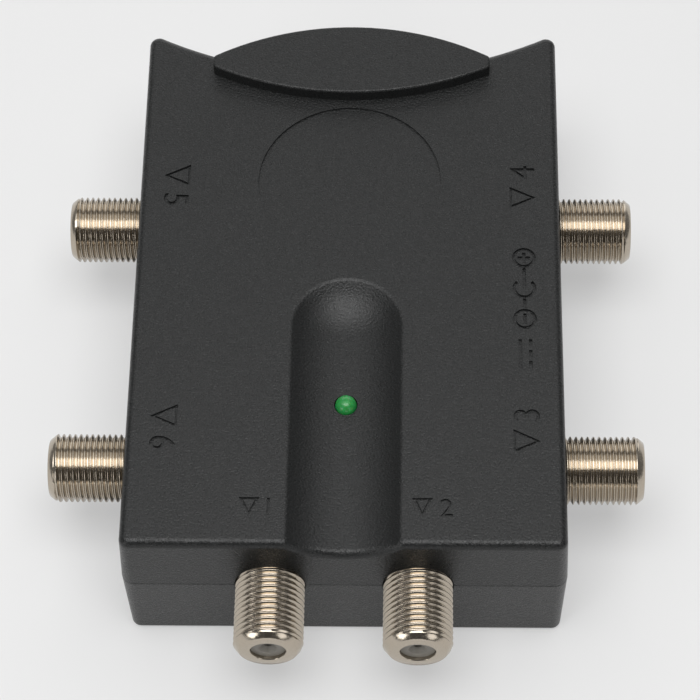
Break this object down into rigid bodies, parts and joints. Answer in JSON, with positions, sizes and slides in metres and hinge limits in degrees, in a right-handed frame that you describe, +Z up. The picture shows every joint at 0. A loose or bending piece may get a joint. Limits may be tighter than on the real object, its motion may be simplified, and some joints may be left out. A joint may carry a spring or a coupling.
{
  "type": "tv signal amplifier",
  "caption": "Flat charcoal moulded case with a hollow rear edge and a scooped top, threaded coaxial sockets on three sides, a lamp and a power inlet, for boosting and sharing an aerial signal.",
  "frame": {"origin": "centre of the flat underside of the case", "axes": "+X to the right seen from the front sockets, +Y to the rear, away from the front sockets, +Z up out of the top"},
  "size_m": [0.0818, 0.0958, 0.0264],
  "materials": {
    "case_plastic": "fine spark-eroded grain, charcoal",
    "screw_steel": "zinc-plated",
    "board_laminate": "green solder mask",
    "lamp_resin": "tinted clear epoxy",
    "tinned_wire": "tinned",
    "chip_resin": "moulded epoxy",
    "choke_ferrite": null,
    "capacitor_can": "drawn can",
    "chip_ceramic": "fired ceramic",
    "core_ferrite": null,
    "winding_copper": "enamelled copper",
    "barrel_nickel": "nickel-plated, bright, slightly warm",
    "socket_insulator": "moulded, pale grey",
    "contact_bronze": "sprung bronze",
    "inlet_plastic": "moulded, black",
    "inlet_brass": "nickel-flashed brass"
  },
  "bodies": {
    "amplifier": {"top_shell": "case_plastic", "bottom_shell": "case_plastic", "case_screws": "screw_steel", "circuit_board": "board_laminate", "led_lens": "lamp_resin", "led_leads": "tinned_wire", "amplifier_chip": "chip_resin", "voltage_regulator": "chip_resin", "supply_choke": "choke_ferrite", "input_capacitor": "capacitor_can", "output_capacitor": "capacitor_can", "chip_components": "chip_ceramic", "ferrite_core_1": "core_ferrite", "ferrite_core_2": "core_ferrite", "ferrite_core_3": "core_ferrite", "ferrite_core_4": "core_ferrite", "core_winding_1": "winding_copper", "core_winding_2": "winding_copper", "core_winding_3": "winding_copper", "core_winding_4": "winding_copper", "barrel_front_left": "barrel_nickel", "barrel_front_right": "barrel_nickel", "barrel_left_front": "barrel_nickel", "barrel_left_rear": "barrel_nickel", "barrel_right_front": "barrel_nickel", "barrel_right_rear": "barrel_nickel", "insulator_front_left": "socket_insulator", "insulator_front_right": "socket_insulator", "insulator_left_front": "socket_insulator", "insulator_left_rear": "socket_insulator", "insulator_right_front": "socket_insulator", "insulator_right_rear": "socket_insulator", "contact_front_left": "contact_bronze", "contact_front_right": "contact_bronze", "contact_left_front": "contact_bronze", "contact_left_rear": "contact_bronze", "contact_right_front": "contact_bronze", "contact_right_rear": "contact_bronze", "jack_housing": "inlet_plastic", "jack_centre_pin": "inlet_brass", "jack_sleeve_terminal": "inlet_brass", "jack_switch_terminal": "inlet_brass"},
    "sleeve_spring": {"jack_sleeve_spring": "inlet_brass"}
  },
  "joints": [
    {"name": "sleeve_spring_flex", "type": "hinge", "parent": "amplifier", "child": "sleeve_spring", "pos_m": [0.01805, -0.00533, 0.01035], "axis": [0, 1, 0], "range_deg": [0, 5], "stiffness_Nm_per_rad": 0.1}
  ]
}
